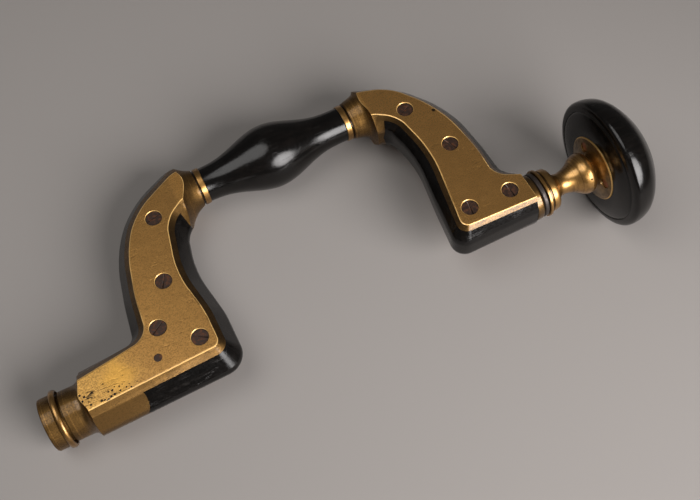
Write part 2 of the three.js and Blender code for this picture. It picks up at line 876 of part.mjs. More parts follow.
function flangeScrewBody(angle, grow) {
  const topX = flangeStartX + flangeScrewSink;
  const headEndX = topX + flangeScrewHeadHeight;
  const openX = grow > 0 ? flangeStartX - overrun : topX;
  const pairs = [[0, openX], [flangeScrewRadius + grow, openX]];
  if (grow > 0) {
    pairs.push([flangeScrewRadius + grow, topX]);
  }
  pairs.push(
    [flangeScrewShank + grow, headEndX],
    [flangeScrewShank + grow, topX + flangeScrewLength + grow],
    [0, topX + flangeScrewLength + grow],
  );
  const points = pairs.map(([radius, x]) => new THREE.Vector2(radius, x));
  const geometry = new THREE.LatheGeometry(points, 10);
  geometry.rotateZ(-Math.PI / 2);
  geometry.translate(0, flangeScrewCircle, 0);
  geometry.rotateX(angle);
  return solidOf(geometry);
}

function flangeScrew(angle) {
  const slot = new THREE.BoxGeometry(screwSlotDepth, screwSlotWidth / 2, flangeScrewRadius * 3);
  slot.translate(flangeStartX + flangeScrewSink, flangeScrewCircle, 0);
  slot.rotateX(angle);
  return flangeScrewBody(angle, 0).subtract(solidOf(slot));
}

function head() {
  const recessRadius = flangeRadius + fitGap;
  const recessX = headSeatX + fitGap / 3;
  const roomRadius = spindleRadius + fitGap * 4;
  const pairs = [
    [0, recessX + headRoomDepth],
    [roomRadius, recessX + headRoomDepth],
    [roomRadius, recessX],
    [recessRadius, recessX],
    [recessRadius, headUndersideX],
  ];
  headShapeShares.forEach(([r, x]) => pairs.push([r * headRadius, headUndersideX + x * headDepth]));
  const body = turned(pairs, 44);
  return flangeScrewAngles.reduce((solid, angle) => solid.subtract(flangeScrewBody(angle, fitGap / 3)), body);
}

// Assembly
const brace = new THREE.Group();
brace.name = 'bit_brace';
brace.add(namedMesh('lower_frame', lowerFrame(), brass));
brace.add(namedMesh('upper_frame', upperFrame(), brass));
brace.add(namedMesh('lower_infill', lowerInfill(), ebony));
brace.add(namedMesh('upper_infill', upperInfill(), ebony));
brace.add(namedMesh('release_ring', releaseRing(), brass));
brace.add(namedMesh('ring_pin', ringPinBody(0), darkSteel));
brace.add(namedMesh('catch_lever', catchLever(), springSteel));
brace.add(namedMesh('catch_pin', catchPin(), darkSteel));
brace.add(namedMesh('catch_spring', catchSpring(), springSteel));
brace.add(namedMesh('grip_rod', gripRod(), springSteel));
brace.add(namedMesh('grip', grip(), ebony));
brace.add(namedMesh('lower_ferrule', ferrule(gripStartX), brass));
brace.add(namedMesh('upper_ferrule', ferrule(gripEndX - ferruleWidth), brass));
brace.add(namedMesh('head_spindle', headSpindle(), springSteel));
brace.add(namedMesh('thrust_washer', thrustWasher(), darkSteel));
brace.add(namedMesh('neck', neck(), brass));
brace.add(namedMesh('spindle_washer', spindleWasher(), springSteel));
brace.add(namedMesh('spindle_nut', spindleNut(), springSteel));
brace.add(namedMesh('head_flange', headFlange(), brass));
brace.add(namedMesh('head', head(), ebony));
flangeScrewAngles.forEach((angle, k) => {
  brace.add(namedMesh(`flange_screw_${k + 1}`, flangeScrew(angle), darkSteel));
});
[['lower', lowerSpots], ['upper', upperSpots]].forEach(([arm, spots], row) => {
  spots.forEach(([x, y], k) => {
    const share = slotAngleShares[row * spots.length + k];
    const front = cheekScrew(x, y, share);
    brace.add(namedMesh(`${arm}_front_screw_${k + 1}`, front, darkSteel));
    const back = cheekScrew(x, y, share + 0.3).mirror([0, 0, 1]);
    brace.add(namedMesh(`${arm}_back_screw_${k + 1}`, back, darkSteel));
  });
});

// Origin below the middle of the whole brace, where it would meet the bench
const bounds = new THREE.Box3().setFromObject(brace);
const middle = bounds.getCenter(new THREE.Vector3());
brace.position.set(-middle.x, -middle.y, -bounds.min.z);
brace.updateMatrixWorld(true);

export default brace;
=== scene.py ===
import math

import bmesh
import bpy
from mathutils import Matrix, Vector


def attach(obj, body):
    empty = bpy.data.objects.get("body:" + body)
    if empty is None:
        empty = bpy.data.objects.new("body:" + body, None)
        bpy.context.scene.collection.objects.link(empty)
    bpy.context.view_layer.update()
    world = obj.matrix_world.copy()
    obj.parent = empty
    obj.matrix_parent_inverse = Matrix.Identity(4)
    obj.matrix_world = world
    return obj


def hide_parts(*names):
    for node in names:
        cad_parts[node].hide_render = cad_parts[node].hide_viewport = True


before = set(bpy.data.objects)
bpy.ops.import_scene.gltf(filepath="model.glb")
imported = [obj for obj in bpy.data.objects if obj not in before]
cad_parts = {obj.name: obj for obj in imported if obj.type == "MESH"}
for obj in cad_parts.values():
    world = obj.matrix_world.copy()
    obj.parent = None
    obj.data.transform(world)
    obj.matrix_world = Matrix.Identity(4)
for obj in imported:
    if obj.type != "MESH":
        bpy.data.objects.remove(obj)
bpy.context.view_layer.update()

# Places are in millimetres from the chuck's mouth on the main axis: x towards the head, y towards the grip,
# z out of the front cheek. Materials and node groups work in metres.
MOUTH = Vector((-0.178, -0.03972, 0.038))
THROW = 98.5  # from the main axis to the grip's axis
HALF = 14.5  # half the thickness over both cheeks
INFILL = 11.7  # half the thickness of the ebony between the cheeks
LOWER_BAND = 1.5  # half the upright band at each arm's widest line
UPPER_BAND = 5.8
BEVEL_SHARE = 0.36  # how far out the wide bevel comes before the flank gets steeper
LOWER_END = 122.8  # where the lower arm ends beside the grip
UPPER_START = 220.3  # where the upper arm starts on the grip's other side
UPPER_END = 284.0  # where the upper arm ends at its collar


def at(x, y, z=0.0):
    return Vector((x, y, z)) / 1000 + MOUTH


# Material helpers
MIX_FACTOR, MIX_FIRST, MIX_SECOND, MIX_RESULT = 0, 6, 7, 2


def feed(tree, socket, value):
    """Links a value into a socket, or sets it there."""
    if isinstance(value, bpy.types.NodeSocket):
        tree.links.new(value, socket)
    elif socket.type == "RGBA":
        socket.default_value = (*value, 1.0)
    else:
        socket.default_value = value


def node(tree, kind, values=None, **settings):
    made = tree.nodes.new("ShaderNode" + kind)
    for key, value in settings.items():
        setattr(made, key, value)
    for key, value in (values or {}).items():
        feed(tree, made.inputs[key], value)
    return made


def maths(tree, operation, *values, clamp=False):
    return node(tree, "Math", dict(enumerate(values)), operation=operation, use_clamp=clamp).outputs[0]


def product(tree, first, second):
    return maths(tree, "MULTIPLY", first, second)


def total(tree, first, second):
    return maths(tree, "ADD", first, second)


def less(tree, first, second, clamp=False):
    return maths(tree, "SUBTRACT", first, second, clamp=clamp)


def larger(tree, first, second):
    return maths(tree, "MAXIMUM", first, second)


def distance_from(tree, value, level):
    return maths(tree, "ABSOLUTE", less(tree, value, level))


def fade(tree, value, low, high, to_low=0.0, to_high=1.0):
    """A value brought smoothly from one range to another."""
    values = {"Value": value, "From Min": low, "From Max": high, "To Min": to_low, "To Max": to_high}
    return node(tree, "MapRange", values, interpolation_type="SMOOTHSTEP").outputs["Result"]


def between(tree, value, rise, fall):
    """A mask that fades in over the first range and out over the second."""
    return product(tree, fade(tree, value, *rise), fade(tree, value, *reversed(fall)))


def colour_mix(tree, factor, first, second, blend="MIX"):
    values = {MIX_FACTOR: factor, MIX_FIRST: first, MIX_SECOND: second}
    return node(tree, "Mix", values, data_type="RGBA", blend_type=blend).outputs[MIX_RESULT]


def object_place(tree):
    return node(tree, "TexCoord").outputs["Object"]


def moved(tree, place, **values):
    """A place scaled, turned and shifted."""
    named = {key.capitalize(): value for key, value in values.items()}
    return node(tree, "Mapping", {"Vector": place, **named}).outputs[0]


def cloud(tree, place, scale, detail, rough):
    """Noise of so many bumps to the metre."""
    values = {"Vector": place, "Scale": scale, "Detail": detail, "Roughness": rough}
    return node(tree, "TexNoise", values).outputs["Fac"]


# Effects that several finishes use
def shader_group(name, inputs, outputs):
    """An empty node group with float inputs at the values given, and float outputs."""
    tree = bpy.data.node_groups.new(name, "ShaderNodeTree")
    for label, value in inputs.items():
        socket = tree.interface.new_socket(name=label, in_out="INPUT", socket_type="NodeSocketFloat")
        socket.default_value = value
    for label in outputs:
        tree.interface.new_socket(name=label, in_out="OUTPUT", socket_type="NodeSocketFloat")
    return tree, tree.nodes.new("NodeGroupInput").outputs, tree.nodes.new("NodeGroupOutput").inputs


def shared(tree, group, **values):
    """An effect placed in a material, with its own values."""
    return node(tree, "Group", values, node_tree=group).outputs


def make_pitting():
    """Small casting pits: a mask of them, thicker where Amount is higher."""
    tree, given, out = shader_group("casting_pits", {"Scale": 420.0, "Amount": 0.5}, ["Mask", "Height"])
    place = moved(tree, object_place(tree), scale=(1.0, 1.0, 0.35))
    wobble = node(tree, "TexNoise", {"Vector": place, "Scale": 900.0, "Detail": 2.0}).outputs["Color"]
    shift = node(tree, "VectorMath", {"Vector": wobble, "Scale": 0.0003}, operation="SCALE").outputs[0]
    bent = node(tree, "VectorMath", {0: place, 1: shift}, operation="ADD").outputs[0]
    cells = node(tree, "TexVoronoi", {"Vector": bent, "Scale": given["Scale"]}, feature="F1").outputs
    luck = node(tree, "SeparateColor", {"Color": cells["Color"]}).outputs[0]
    size = fade(tree, total(tree, luck, given["Amount"]), 0.9, 1.6, 0.0, 0.42)
    mask = fade(tree, less(tree, size, cells["Distance"]), 0.0, 0.06)
    feed(tree, out["Mask"], mask)
    feed(tree, out["Height"], product(tree, mask, -1.0))
    return tree


def make_scratches():
    """Fine scratches in three directions, as a mask."""
    tree, given, out = shader_group("fine_scratches", {"Scale": 60.0, "Thin": 0.02}, ["Mask"])
    place = object_place(tree)
    masks = []
    for turn, seed in ((0.5, 0.0), (-0.9, 3.1), (1.35, 7.7)):
        laid = moved(tree, place, rotation=(0.25, 0.1, turn), location=(seed, 0.0, 0.0), scale=(0.22, 2.4, 2.4))
        off_centre = distance_from(tree, cloud(tree, laid, given["Scale"], 3.0, 0.55), 0.5)
        line = less(tree, 1.0, maths(tree, "DIVIDE", off_centre, given["Thin"]), clamp=True)
        here = cloud(tree, place, 28.0 + 9 * seed, 2.0, 0.5)
        masks.append(product(tree, line, fade(tree, here, 0.5, 0.62)))
    feed(tree, out["Mask"], larger(tree, masks[0], larger(tree, masks[1], masks[2])))
    return tree


def make_skin():
    """The sandy skin of old brass: fine grain, soft mottling and their height."""
    tree, given, out = shader_group("brass_skin", {"Size": 1.0}, ["Grain", "Mottle", "Height"])
    values = {"Vector": object_place(tree), "Scale": given["Size"]}
    sized = node(tree, "VectorMath", values, operation="SCALE").outputs[0]
    grain = cloud(tree, sized, 1250.0, 3.0, 0.7)
    peel = cloud(tree, sized, 420.0, 2.0, 0.5)
    feed(tree, out["Grain"], grain)
    feed(tree, out["Mottle"], cloud(tree, sized, 130.0, 4.0, 0.6))
    feed(tree, out["Height"], total(tree, product(tree, grain, 0.45), peel))
    return tree


def make_lathe_lines():
    """Rings left by the lathe, which run round an axis along x."""
    tree, given, out = shader_group("lathe_lines", {"Fine": 900.0}, ["Lines"])
    place = moved(tree, object_place(tree), scale=(1.0, 0.015, 0.015))
    feed(tree, out["Lines"], cloud(tree, place, given["Fine"], 3.0, 0.7))
    return tree


def make_arris_wear():
    """Where an arm's long edges are rubbed, and on the cheeks carry a painted highlight: a line at the height Level
    off its middle, and what is above.
    """
    tree, given, out = shader_group("arris_line", {"Level": 0.0140, "Reach": 0.0007}, ["Mask", "Above"])
    place = object_place(tree)
    height = node(tree, "SeparateXYZ", {"Vector": place}).outputs["Z"]
    off_middle = distance_from(tree, height, MOUTH.z)
    wander = product(tree, less(tree, cloud(tree, place, 160.0, 3.0, 0.6), 0.5), 0.00012)
    over = less(tree, total(tree, off_middle, wander), given["Level"])
    spread = maths(tree, "DIVIDE", maths(tree, "ABSOLUTE", over), given["Reach"])
    feed(tree, out["Mask"], fade(tree, less(tree, 1.0, spread, clamp=True), 0.0, 0.8))
    feed(tree, out["Above"], fade(tree, less(tree, off_middle, given["Level"]), -0.0002, 0.0))
    return tree


PITTING = make_pitting()
SCRATCHES = make_scratches()
SKIN = make_skin()
LATHE_LINES = make_lathe_lines()
ARRIS_LINE = make_arris_wear()

# Finishes
OCHRE = (0.545, 0.292, 0.085)
BROWN = (0.147, 0.080, 0.024)
YELLOW = (0.76, 0.44, 0.110)
BARE_YELLOW = (0.88, 0.48, 0.09)
# Worn brass, also used as a painted highlight along the cheeks' arris and on the flange's rim
RUBBED_BRASS_AND_HIGHLIGHT = (0.80, 0.50, 0.17)
PIT = (0.014, 0.009, 0.005)
SCUFF = (0.060, 0.054, 0.050)
SLOT_RUST = (0.20, 0.065, 0.02)
WAX_ROUGHNESS = 0.15


def new_look(name, metallic, specular=0.5):
    look = bpy.data.materials.new(name)
    look.use_nodes = True
    tree = look.node_tree
    surface = tree.nodes["Principled BSDF"].inputs
    surface["Metallic"].default_value = metallic
    surface["Specular IOR Level"].default_value = specular
    return look, tree, surface, object_place(tree)


def wax(tree, surface, weight):
    feed(tree, surface["Coat Weight"], weight)
    surface["Coat Roughness"].default_value = WAX_ROUGHNESS


def bump(tree, surface, height, depth_mm):
    values = {"Height": height, "Distance": depth_mm / 1000, "Strength": 1.0}
    feed(tree, surface["Normal"], node(tree, "Bump", values).outputs["Normal"])


def times(colour, amount):
    return tuple(min(1.0, part * amount) for part in colour)


def along_and_across(tree, place):
    """Metres from the chuck's mouth along the main axis, and from that axis towards the grip."""
    parts = node(tree, "SeparateXYZ", {"Vector": place}).outputs
    return less(tree, parts["X"], MOUTH.x), less(tree, parts["Y"], MOUTH.y)


def cheek_face_colour(tree, place, skin, x, y, near_chuck):
    """Ochre, paler on the upper arm, and yellow where a hand has rubbed it near the chuck."""
    off_patch = total(tree, distance_from(tree, x, 0.043), distance_from(tree, y, 0.001))
    ragged = total(tree, off_patch, product(tree, cloud(tree, place, 90.0, 3.0, 0.6), 0.012))
    patch = fade(tree, ragged, 0.021, 0.009)
    mottle = fade(tree, skin["Mottle"], 0.35, 0.68)
    colour = colour_mix(tree, mottle, times(OCHRE, 0.95), times(OCHRE, 1.05))
    colour = colour_mix(tree, fade(tree, x, 0.20, 0.23), colour, (1.22, 1.22, 1.24), "MULTIPLY")
    colour = colour_mix(tree, product(tree, near_chuck, 0.6), colour, YELLOW)
    colour = colour_mix(tree, fade(tree, skin["Grain"], 0.44, 0.62, 0.0, 0.62), colour, times(OCHRE, 0.42))
    return colour_mix(tree, product(tree, patch, 0.6), colour, BARE_YELLOW)


def flank_colour(tree, skin, x, near_chuck, lines):
    """Brown, lighter beside the chuck and along the lathe's lines."""
    colour = colour_mix(tree, fade(tree, skin["Mottle"], 0.35, 0.7), times(BROWN, 0.8), times(BROWN, 1.35))
    lighter = product(tree, near_chuck, fade(tree, x, 0.0205, 0.0235))
    colour = colour_mix(tree, lighter, colour, times(OCHRE, 0.3))
    colour = colour_mix(tree, fade(tree, lines, 0.5, 0.75), colour, times(OCHRE, 0.6))
    return colour_mix(tree, fade(tree, skin["Grain"], 0.46, 0.62, 0.0, 0.6), colour, times(BROWN, 0.4))


def cheek_holes(tree, place, x, y, near_chuck, above):
    """Pits and short cracks, thickest along the lower edge near the chuck, and one plugged hole."""
    edge_side = fade(tree, less(tree, y, product(tree, x, -0.15)), 0.010, 0.0, 0.25, 0.95)
    on_cheek = product(tree, fade(tree, x, 0.0195, 0.0205), fade(tree, above, 0.0, 1.0, 0.3, 1.0))
    amount = product(tree, product(tree, near_chuck, edge_side), on_cheek)
    pits = shared(tree, PITTING, Scale=560.0, Amount=product(tree, amount, 0.78))["Mask"]
    dents = shared(tree, PITTING, Scale=330.0, Amount=product(tree, amount, 0.92))["Mask"]
    cracks = shared(tree, SCRATCHES, Scale=60.0, Thin=0.018)["Mask"]
    ends = {0: place, 1: tuple(at(263.4, 70.9, HALF))}
    off_plug = node(tree, "VectorMath", ends, operation="DISTANCE").outputs["Value"]
    plug = product(tree, fade(tree, off_plug, 0.0013, 0.0009), 0.92)
    holes = larger(tree, larger(tree, pits, dents), plug)
    return larger(tree, holes, product(tree, cracks, fade(tree, amount, 0.3, 0.7)))


def cheek_brass_look():
    """Sand-cast brass: ochre on the rubbed cheeks, brown on bevels and turnings, worn bright along the arris with a
    painted highlight, and painted shade in the gaps beside the ferrules.
    """
    look, tree, surface, place = new_look("cheek_brass", 1.0)
    x, y = along_and_across(tree, place)
    skin = shared(tree, SKIN, Size=1.0)
    edge = shared(tree, ARRIS_LINE, Level=0.01431, Reach=0.00018)
    scratches = shared(tree, SCRATCHES, Scale=90.0, Thin=0.012)["Mask"]
    nose = fade(tree, x, 0.0190, 0.0175)
    off_nose = less(tree, 1.0, nose)
    # The worn line along the arris, which also carries a painted highlight
    rubbed = product(tree, edge["Mask"], off_nose)
    turned_part = larger(tree, nose, between(tree, x, (0.108, 0.1105), (0.2305, 0.232)))
    lines = product(tree, shared(tree, LATHE_LINES, Fine=1100.0)["Lines"], turned_part)
    ragged = total(tree, x, product(tree, cloud(tree, place, 70.0, 3.0, 0.6), 0.03))
    near_chuck = fade(tree, ragged, 0.078, 0.056)
    # Painted shade: thin dark bands at the arms' ends, in the gaps beside the ferrules
    ferrule_gap_shade = between(tree, x, (0.12282, 0.12290), (0.22020, 0.22028))

    face = cheek_face_colour(tree, place, skin, x, y, near_chuck)
    flank = flank_colour(tree, skin, x, near_chuck, lines)
    holes = cheek_holes(tree, place, x, y, near_chuck, edge["Above"])
    colour = colour_mix(tree, product(tree, edge["Above"], off_nose), flank, face)
    colour = colour_mix(tree, holes, colour, PIT)
    colour = colour_mix(tree, product(tree, scratches, 0.3), colour, PIT)
    # Worn brass with a painted highlight along the arris
    colour = colour_mix(tree, product(tree, rubbed, 0.9), colour, RUBBED_BRASS_AND_HIGHLIGHT)
    # Painted shade beside the ferrules
    colour = colour_mix(tree, product(tree, ferrule_gap_shade, 0.9), colour, PIT)
    feed(tree, surface["Base Color"], colour)
    # Less metallic on the arris line, so that its painted highlight shows bright from every side
    feed(tree, surface["Metallic"], less(tree, 1.0, product(tree, rubbed, 0.6), clamp=True))
    rough = fade(tree, skin["Grain"], 0.3, 0.7, 0.34, 0.5)
    feed(tree, surface["Roughness"], total(tree, rough, product(tree, turned_part, 0.07)))
    wax(tree, surface, fade(tree, turned_part, 0.0, 1.0, 0.6, 0.22))
    relief = less(tree, skin["Height"], product(tree, holes, 3.0))
    relief = total(tree, relief, product(tree, lines, 0.6))
    bump(tree, surface, less(tree, relief, scratches), 0.042)
    return look


def turned_brass_look(name, light, dark, rough, rim=None):
    """Brass off the lathe, browned in its lines, with painted shade in the neck's groove, and worn brass with a
    painted highlight on any rim.
    """
    look, tree, surface, place = new_look(name, 1.0)
    skin = shared(tree, SKIN, Size=1.15)
    lines = shared(tree, LATHE_LINES, Fine=1300.0)["Lines"]
    pits = shared(tree, PITTING, Scale=560.0, Amount=0.02)
    scratches = shared(tree, SCRATCHES, Scale=110.0, Thin=0.012)["Mask"]
    tarnish = total(tree, product(tree, skin["Mottle"], 0.6), product(tree, lines, 0.4))
    x, _ = along_and_across(tree, place)
    groove = between(tree, x, (0.2929, 0.2931), (0.2945, 0.2949))

    colour = colour_mix(tree, fade(tree, tarnish, 0.4, 0.62), light, dark)
    colour = colour_mix(tree, pits["Mask"], colour, PIT)
    colour = colour_mix(tree, product(tree, scratches, 0.35), colour, times(light, 1.5))
    # Painted shade in the neck's groove
    colour = colour_mix(tree, product(tree, groove, 0.85), colour, PIT)
    if rim:
        across = moved(tree, place, scale=(0.0, 1.0, 1.0), location=(0.0, -MOUTH.y, -MOUTH.z))
        off_axis = node(tree, "VectorMath", {0: across}, operation="LENGTH").outputs["Value"]
        # Worn brass and a painted highlight along the flange's rim
        rim_wear_and_highlight = fade(tree, off_axis, rim - 0.0007, rim - 0.0004, 0.0, 0.85)
        colour = colour_mix(tree, rim_wear_and_highlight, colour, RUBBED_BRASS_AND_HIGHLIGHT)
    feed(tree, surface["Base Color"], colour)
    feed(tree, surface["Roughness"], fade(tree, tarnish, 0.35, 0.65, rough - 0.06, rough + 0.1))
    wax(tree, surface, 0.5)
    relief = total(tree, skin["Height"], product(tree, lines, 0.8))
    bump(tree, surface, total(tree, relief, pits["Height"]), 0.018)
    return look


def ebony_look(name, on_arm):
    """Black wood, waxed, with grey scuffs, which on an arm lie along its edges too."""
    look, tree, surface, place = new_look(name, 0.0, 0.34)
    grain = cloud(tree, moved(tree, place, scale=(0.25, 2.2, 2.2)), 130.0, 5.0, 0.6)
    fine = cloud(tree, place, 950.0, 4.0, 0.75)
    scratches = shared(tree, SCRATCHES, Scale=85.0, Thin=0.012)["Mask"]
    scuffs = product(tree, scratches, 0.09)
    if on_arm:
        edge = shared(tree, ARRIS_LINE, Level=0.0058, Reach=0.0012)["Mask"]
        rubbed = product(tree, edge, fade(tree, cloud(tree, place, 120.0, 4.0, 0.7), 0.5, 0.72))
        scuffs = larger(tree, scuffs, product(tree, rubbed, 0.22))
    wood = colour_mix(tree, fade(tree, grain, 0.4, 0.7), (0.0018, 0.0015, 0.0013), (0.0040, 0.0031, 0.0026))
    feed(tree, surface["Base Color"], colour_mix(tree, scuffs, wood, SCUFF))
    feed(tree, surface["Roughness"], fade(tree, fine, 0.3, 0.75, 0.12, 0.25))
    relief = total(tree, product(tree, grain, 0.6), fine)
    bump(tree, surface, less(tree, relief, scratches), 0.020)
    return look


def steel_look(name, clean, rust, rusty, rough, metallic, slotted=False):
    """Old steel with spots of rust, and rust below the top of slotted screws."""
    look, tree, surface, place = new_look(name, metallic)
    spots = cloud(tree, place, 520.0, 5.0, 0.7)
    rusted = fade(tree, spots, 0.62 - rusty * 0.3, 0.8 - rusty * 0.3)
    colour = colour_mix(tree, rusted, clean, rust)
    if slotted:
        top = shared(tree, ARRIS_LINE, Level=0.0137, Reach=0.0003)
        colour = colour_mix(tree, top["Above"], SLOT_RUST, colour)
    feed(tree, surface["Base Color"], colour)
    feed(tree, surface["Roughness"], fade(tree, spots, 0.3, 0.75, rough - 0.1, rough + 0.2))
    bump(tree, surface, spots, 0.05)
    return look


CHEEK_BRASS = cheek_brass_look()
TURNED_BRASS = turned_brass_look("turned_brass", (0.46, 0.255, 0.078), (0.20, 0.106, 0.030), 0.34)
# Darker than the turned brass: partly tarnish, partly painted shade where the flange sits under the head
SHADED_FLANGE_BRASS = turned_brass_look("shaded_flange_brass", (0.27, 0.160, 0.050), (0.11, 0.062, 0.019), 0.4, rim=0.0192)
ARM_EBONY = ebony_look("arm_ebony", on_arm=True)
TURNED_EBONY = ebony_look("turned_ebony", on_arm=False)
SCREW_STEEL = steel_look("screw_steel", (0.026, 0.013, 0.008), (0.085, 0.028, 0.009), rusty=0.5, rough=0.5,
                         metallic=0.3, slotted=True)
WASHER_STEEL = steel_look("washer_steel", (0.045, 0.036, 0.032), (0.025, 0.016, 0.011), rusty=0.3, rough=0.42,
                          metallic=0.6)
PLAIN_STEEL = steel_look("plain_steel", (0.24, 0.23, 0.22), (0.10, 0.06, 0.04), rusty=0.3, rough=0.36,
                         metallic=0.85)

# Modelling helpers
SHARP_FROM = math.radians(38)


def put(name, bm, look=None):
    """A mesh object at the origin, its place in its mesh."""
    bmesh.ops.remove_doubles(bm, verts=bm.verts, dist=1e-6)
    bmesh.ops.recalc_face_normals(bm, faces=bm.faces)
    mesh = bpy.data.meshes.new(name)
    bm.to_mesh(mesh)
    bm.free()
    piece = bpy.data.objects.new(name, mesh)
    bpy.context.scene.collection.objects.link(piece)
    if look:
        mesh.materials.append(look)
    return piece


def stand_in(piece, body, finish, *nodes):
    """Puts a finished piece in the place of its CAD nodes."""
    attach(piece, body)
    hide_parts(*nodes)


def settle(piece):
    """Applies what modifiers a piece has."""
    if not piece.modifiers:
        return
    depsgraph = bpy.context.evaluated_depsgraph_get()
    made = bpy.data.meshes.new_from_object(piece.evaluated_get(depsgraph), depsgraph=depsgraph)
    piece.modifiers.clear()
    old = piece.data
    made.name = old.name
    piece.data = made
    bpy.data.meshes.remove(old)


def soften(piece, width_mm, eased_from=math.radians(35)):
    """Eased edges, if a width is given, and even shading."""
    if width_mm:
        edge = piece.modifiers.new("eased edges", "BEVEL")
        edge.width = width_mm / 1000
        edge.segments = 2
        edge.limit_method = "ANGLE"
        edge.angle_limit = eased_from
        edge.use_clamp_overlap = True
    settle(piece)
    for polygon in piece.data.polygons:
        polygon.use_smooth = True
    piece.data.set_sharp_from_angle(angle=SHARP_FROM)
    even = piece.modifiers.new("even shading", "WEIGHTED_NORMAL")
    even.keep_sharp = True
    even.weight = 80
    settle(piece)


def carve(piece, cutters, operation="DIFFERENCE"):
    """Cuts solids from a piece, joins them to it or keeps what lies in them."""
    for cutter in cutters:
        cut = piece.modifiers.new("cut", "BOOLEAN")
        cut.operation = operation
        cut.solver = "MANIFOLD"
        cut.object = cutter
    settle(piece)


def discard(pieces):
    for piece in pieces:
        mesh = piece.data
        bpy.data.objects.remove(piece)
        bpy.data.meshes.remove(mesh)


def smooth_line(points, steps):
    """A smooth line through points, as a lathe's tool would leave it."""
    line = []
    for k in range(len(points) - 1):
        before = points[max(k - 1, 0)]
        start, end = points[k], points[k + 1]
        after = points[min(k + 2, len(points) - 1)]
        for step in range(steps):
            t = step / steps
            line.append(tuple(
                0.5 * (2 * b + (c - a) * t + (2 * a - 5 * b + 4 * c - d) * t * t + (3 * b - a - 3 * c + d) * t ** 3)
                for a, b, c, d in zip(before, start, end, after)))
    return line + [tuple(points[-1])]


def closed(line):
    return line + line[:1]


def turn_round(points, centre, axis, steps):
    """A line of points turned once round an axis."""
    bm = bmesh.new()
    verts = [bm.verts.new(point) for point in points]
    edges = [bm.edges.new(pair) for pair in zip(verts, verts[1:])]
    bmesh.ops.spin(bm, geom=verts + edges, cent=centre, axis=axis, angle=math.tau, steps=steps, use_merge=True)
    return bm


def spun(line, y=0.0):
    """A line of (x, radius) turned about the line along x at height y."""
    return turn_round([at(x, y + radius) for x, radius in line], at(0, y), (1, 0, 0), 96)


def upright(x, y, line):
    """A line of (radius, z) turned about the upright line through x and y."""
    return turn_round([at(x + radius, y, z) for radius, z in line], at(x, y), (0, 0, 1), 40)


def taper(low_radius, high_radius, length, place, segments):
    """A round or many-sided bar, its ends of two radii, along z of the matrix that places it."""
    bm = bmesh.new()
    bmesh.ops.create_cone(bm, cap_ends=True, segments=segments, radius1=low_radius / 1000,
                          radius2=high_radius / 1000, depth=length / 1000, matrix=place)
    return bm


def pole(x, y, low, high, radius):
    """A round bar along z."""
    return taper(radius, radius, high - low, Matrix.Translation(at(x, y, (low + high) / 2)), 32)


def new_verts(grown):
    return [part for part in grown["geom"] if isinstance(part, bmesh.types.BMVert)]


def drawn_out(points, travel):
    """A flat outline drawn out into a solid."""
    bm = bmesh.new()
    face = bm.faces.new([bm.verts.new(point) for point in points])
    grown = bmesh.ops.extrude_face_region(bm, geom=[face], use_keep_orig=True)
    bmesh.ops.translate(bm, verts=new_verts(grown), vec=travel)
    return bm


# The arms' corners: x as a share of the arm's length from its end on the main axis, y and the corner's radius
# as shares of the throw. A face is the flat cheek, a side is the widest line round the arm, and their corners match.
LOWER_FACE = (
    (0, -0.104, 0), (0.785, -0.068, 0.043), (0.785, 0.152, 0.305), (0.744, 0.437, 0.325), (0.801, 0.782, 0.173),
    (0.912, 0.877, 0.061), (1, 0.877, 0), (1, 1.059, 0), (0.916, 1.059, 0.061), (0.688, 0.904, 0.305),
    (0.59, 0.69, 0.406), (0.544, 0.406, 0.609), (0.526, 0.148, 0.107), (0, 0.058, 0))
LOWER_SIDE = (
    (0, -0.185, 0), (0.864, -0.177, 0.12), (0.866, 0.156, 0.264), (0.826, 0.479, 0.345), (0.865, 0.717, 0.122),
    (0.923, 0.784, 0.041), (1, 0.784, 0), (1, 1.192, 0), (0.9, 1.192, 0.45), (0.66, 1.045, 0.5),
    (0.524, 0.76, 0.426), (0.476, 0.452, 0.609), (0.451, 0.225, 0.056), (0, 0.189, 0))
UPPER_FACE = (
    (0.7, -0.063, 0.043), (0, -0.085, 0), (0, 0.085, 0), (0.207, 0.151, 0.107), (0.198, 0.365, 0.508),
    (0.262, 0.717, 0.406), (0.568, 0.999, 0.284), (0.832, 1.058, 0.061), (1, 1.058, 0), (1, 0.875, 0),
    (0.832, 0.875, 0.061), (0.637, 0.784, 0.162), (0.554, 0.467, 0.457), (0.628, 0.193, 0.558))
UPPER_SIDE = (
    (0.813, -0.126, 0.086), (0, -0.128, 0), (0, 0.138, 0), (0.082, 0.219, 0.046), (0.089, 0.396, 0.508),
    (0.132, 0.731, 0.426), (0.463, 1.04, 0.345), (0.856, 1.155, 0.061), (1, 1.155, 0), (1, 0.795, 0),
    (0.863, 0.795, 0.041), (0.744, 0.774, 0.112), (0.669, 0.528, 0.457), (0.749, 0.203, 0.558))
LOWER_SCREWS = ((0.756, 0.829), (0.681, 0.424), (0.579, 0.174), (0.723, 0.018))
UPPER_SCREWS = ((0.544, 0.807), (0.374, 0.461), (0.552, 0.032), (0.166, 0.024))
PIVOT = (0.531 * LOWER_END, 0.011 * THROW)

# Corners this open are eased further
GENTLE_HALF_ANGLE = math.radians(67)
GENTLE_EASE = 1.7
ARRIS_EASE = 0.55

